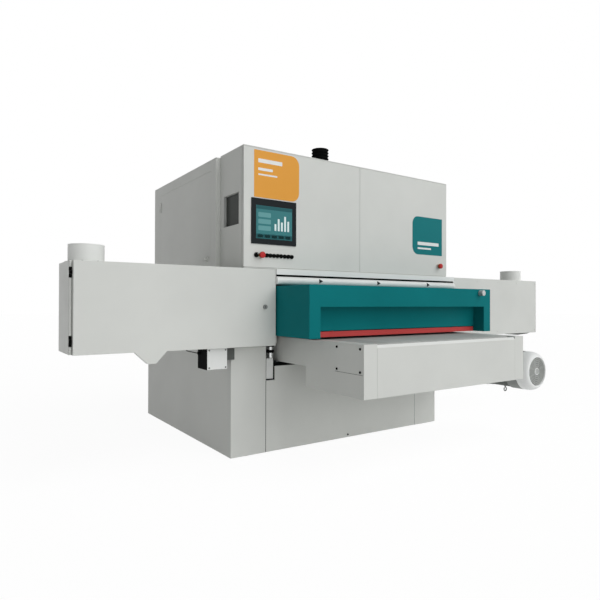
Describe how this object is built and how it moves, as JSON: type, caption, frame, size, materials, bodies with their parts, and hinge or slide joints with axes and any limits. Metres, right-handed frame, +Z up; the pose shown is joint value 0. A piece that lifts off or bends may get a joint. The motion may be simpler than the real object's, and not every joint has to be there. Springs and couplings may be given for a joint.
{
  "type": "wide belt sander",
  "caption": "Floor-standing wide belt sander: fixed feed table, lifting head with long cross-belt side arms, teal infeed hood, control cabinet, feed motor and dust spigots.",
  "frame": {"origin": "on the floor, midway between the two arm ends and midway between the table's ends", "axes": "+X along the cross belt to the machine's right seen from the infeed, +Y along the feed, +Z up"},
  "size_m": [4.92, 3.03, 2.492],
  "materials": {
    "paint": "satin light grey paint",
    "white_paint": "satin white paint",
    "teal_paint": "satin teal paint",
    "red_paint": "satin red paint",
    "red_plastic": "glossy red",
    "black_plastic": "matte black",
    "panel_plastic": "matte near-black",
    "black_steel": "black coated steel",
    "steel": "machined steel",
    "belt_rubber": "matt grey feed belt",
    "roller_rubber": "ground steel roller",
    "abrasive": "coated abrasive cloth",
    "motor_paint": "pale grey enamel",
    "cable_rubber": "matt black cable"
  },
  "bodies": {
    "base": {"base_left_pedestal": "paint", "base_right_pedestal": "paint", "base_cross_beams": "steel", "base_panels": "paint", "levelling_feet": "black_steel", "lift_jacks": "steel", "table_frame": "steel", "bed_plate": "steel", "feed_belt": "belt_rubber", "table_aprons": "paint", "table_caps": "paint", "roller_bearings": "steel", "feed_gearbox": "motor_paint", "feed_motor": "motor_paint", "feed_chain": "black_steel", "junction_box": "black_plastic", "junction_cable": "cable_rubber"},
    "nose_roller": {"nose_roller": "steel"},
    "tail_roller": {"tail_roller": "steel"},
    "drive_sprocket": {"drive_sprocket": "steel"},
    "head": {"head_left_wall": "paint", "head_outer_walls": "paint", "head_front_plate": "paint", "lift_spindles": "steel", "cabinet_shell": "paint", "control_gear": "steel", "exhaust_port": "black_plastic", "infeed_hood": "teal_paint", "hood_rail": "white_paint", "left_arm_casing": "paint", "right_arm_casing": "paint", "right_arm_cover": "paint", "dust_spigot_left": "paint", "dust_spigot_right": "paint", "door_hinges": "black_steel", "cross_beam": "steel", "cross_belt": "abrasive", "sander_motors": "motor_paint", "wide_belt": "abrasive", "unit_beam": "steel"},
    "left_cabinet_door": {"left_cabinet_door": "paint", "hmi_panel": "panel_plastic"},
    "right_cabinet_door": {"right_cabinet_door": "paint"},
    "selector_switch": {"selector_switch": "black_plastic"},
    "estop_left": {"estop_left": "red_plastic"},
    "button_1": {"button_1": "black_plastic"},
    "button_2": {"button_2": "black_plastic"},
    "button_3": {"button_3": "black_plastic"},
    "estop_right": {"estop_right": "red_plastic"},
    "left_arm_door": {"left_arm_door": "paint"},
    "arm_latch": {"arm_latch": "black_steel"},
    "service_door": {"service_door": "paint"},
    "service_handle": {"service_handle": "black_steel"},
    "trip_bar": {"trip_bar": "red_paint"},
    "clamp_knob": {"clamp_knob": "steel"},
    "cross_drive_pulley": {"cross_drive_pulley": "steel"},
    "cross_idler_pulley": {"cross_idler_pulley": "steel"},
    "contact_roller": {"contact_roller": "roller_rubber"},
    "tension_roller": {"tension_roller": "steel"},
    "tension_yoke": {"tension_yoke": "steel"}
  },
  "joints": [
    {"name": "head_lift", "type": "slide", "parent": "base", "child": "head", "axis": [0, 0, 1], "range_m": [0, 0.15], "deforming": ["junction_cable"]},
    {"name": "left_cabinet_door_hinge", "type": "hinge", "parent": "head", "child": "left_cabinet_door", "pos_m": [-1.2835, -0.6645, 1.886], "axis": [0, 0, 1], "range_deg": [-110, 0]},
    {"name": "right_cabinet_door_hinge", "type": "hinge", "parent": "head", "child": "right_cabinet_door", "pos_m": [0.9095, -0.6645, 1.886], "axis": [0, 0, 1], "range_deg": [0, 110]},
    {"name": "left_arm_door_hinge", "type": "hinge", "parent": "head", "child": "left_arm_door", "pos_m": [-2.4515, -0.6345, 1.146], "axis": [0, 0, 1], "range_deg": [-110, 0]},
    {"name": "arm_latch_turn", "type": "hinge", "parent": "left_arm_door", "child": "arm_latch", "pos_m": [-1.11012, -0.677, 1.14939], "axis": [0, 1, 0], "range_deg": [0, 90]},
    {"name": "service_door_hinge", "type": "hinge", "parent": "head", "child": "service_door", "pos_m": [-1.335, 0.98575, 1.64], "axis": [0, 0, 1], "range_deg": [-110, 0]},
    {"name": "service_handle_turn", "type": "hinge", "parent": "service_door", "child": "service_handle", "pos_m": [-1.328, -0.127, 1.53123], "axis": [1, 0, 0], "range_deg": [0, 90]},
    {"name": "selector_turn", "type": "hinge", "parent": "left_cabinet_door", "child": "selector_switch", "pos_m": [-1.187, -0.677, 1.5341], "axis": [0, 1, 0], "range_deg": [-45, 45]},
    {"name": "estop_left_press", "type": "slide", "parent": "left_cabinet_door", "child": "estop_left", "axis": [0, 1, 0], "range_m": [0, 0.005]},
    {"name": "estop_right_press", "type": "slide", "parent": "right_cabinet_door", "child": "estop_right", "axis": [0, 1, 0], "range_m": [0, 0.005]},
    {"name": "button_1_press", "type": "slide", "parent": "left_cabinet_door", "child": "button_1", "axis": [0, 1, 0], "range_m": [0, 0.004], "stiffness_N_per_m": 300, "springref_m": -0.004},
    {"name": "button_2_press", "type": "slide", "parent": "left_cabinet_door", "child": "button_2", "axis": [0, 1, 0], "range_m": [0, 0.004], "stiffness_N_per_m": 300, "springref_m": -0.004},
    {"name": "button_3_press", "type": "slide", "parent": "left_cabinet_door", "child": "button_3", "axis": [0, 1, 0], "range_m": [0, 0.004], "stiffness_N_per_m": 300, "springref_m": -0.004},
    {"name": "trip_bar_swing", "type": "hinge", "parent": "head", "child": "trip_bar", "pos_m": [0, -0.95, 1.05], "axis": [1, 0, 0], "range_deg": [0, 15], "stiffness_Nm_per_rad": 20, "springref_deg": -28.65},
    {"name": "clamp_knob_turn", "type": "hinge", "parent": "head", "child": "clamp_knob", "pos_m": [0.85309, -1.104, 1.272], "axis": [0, 1, 0], "continuous": true},
    {"name": "cross_drive_spin", "type": "hinge", "parent": "head", "child": "cross_drive_pulley", "pos_m": [-2.15, -0.4795, 1.1228], "axis": [0, 1, 0], "continuous": true},
    {"name": "cross_idler_spin", "type": "hinge", "parent": "head", "child": "cross_idler_pulley", "pos_m": [2.15, -0.4795, 1.1228], "axis": [0, 1, 0], "continuous": true},
    {"name": "contact_roller_spin", "type": "hinge", "parent": "head", "child": "contact_roller", "pos_m": [0, 0.44981, 1.0428], "axis": [1, 0, 0], "continuous": true},
    {"name": "tension_yoke_slide", "type": "slide", "parent": "head", "child": "tension_yoke", "axis": [0, 0, 1], "range_m": [-0.02, 0], "stiffness_N_per_m": 8000, "springref_m": 0.45},
    {"name": "tension_roller_spin", "type": "hinge", "parent": "tension_yoke", "child": "tension_roller", "pos_m": [0, 0.44981, 1.9428], "axis": [1, 0, 0], "continuous": true},
    {"name": "nose_roller_spin", "type": "hinge", "parent": "base", "child": "nose_roller", "pos_m": [0, -1.4247, 0.8377], "axis": [1, 0, 0], "continuous": true},
    {"name": "tail_roller_spin", "type": "hinge", "parent": "base", "child": "tail_roller", "pos_m": [0, 1.4247, 0.8377], "axis": [1, 0, 0], "continuous": true},
    {"name": "drive_sprocket_spin", "type": "hinge", "parent": "base", "child": "drive_sprocket", "pos_m": [0.871, -0.96, 0.677], "axis": [1, 0, 0], "continuous": true}
  ],
  "couplings": [
    {"joint": "cross_idler_spin", "follows": "cross_drive_spin", "ratio": 1},
    {"joint": "tension_roller_spin", "follows": "contact_roller_spin", "ratio": 1},
    {"joint": "tail_roller_spin", "follows": "nose_roller_spin", "ratio": 1},
    {"joint": "drive_sprocket_spin", "follows": "nose_roller_spin", "ratio": 1}
  ]
}
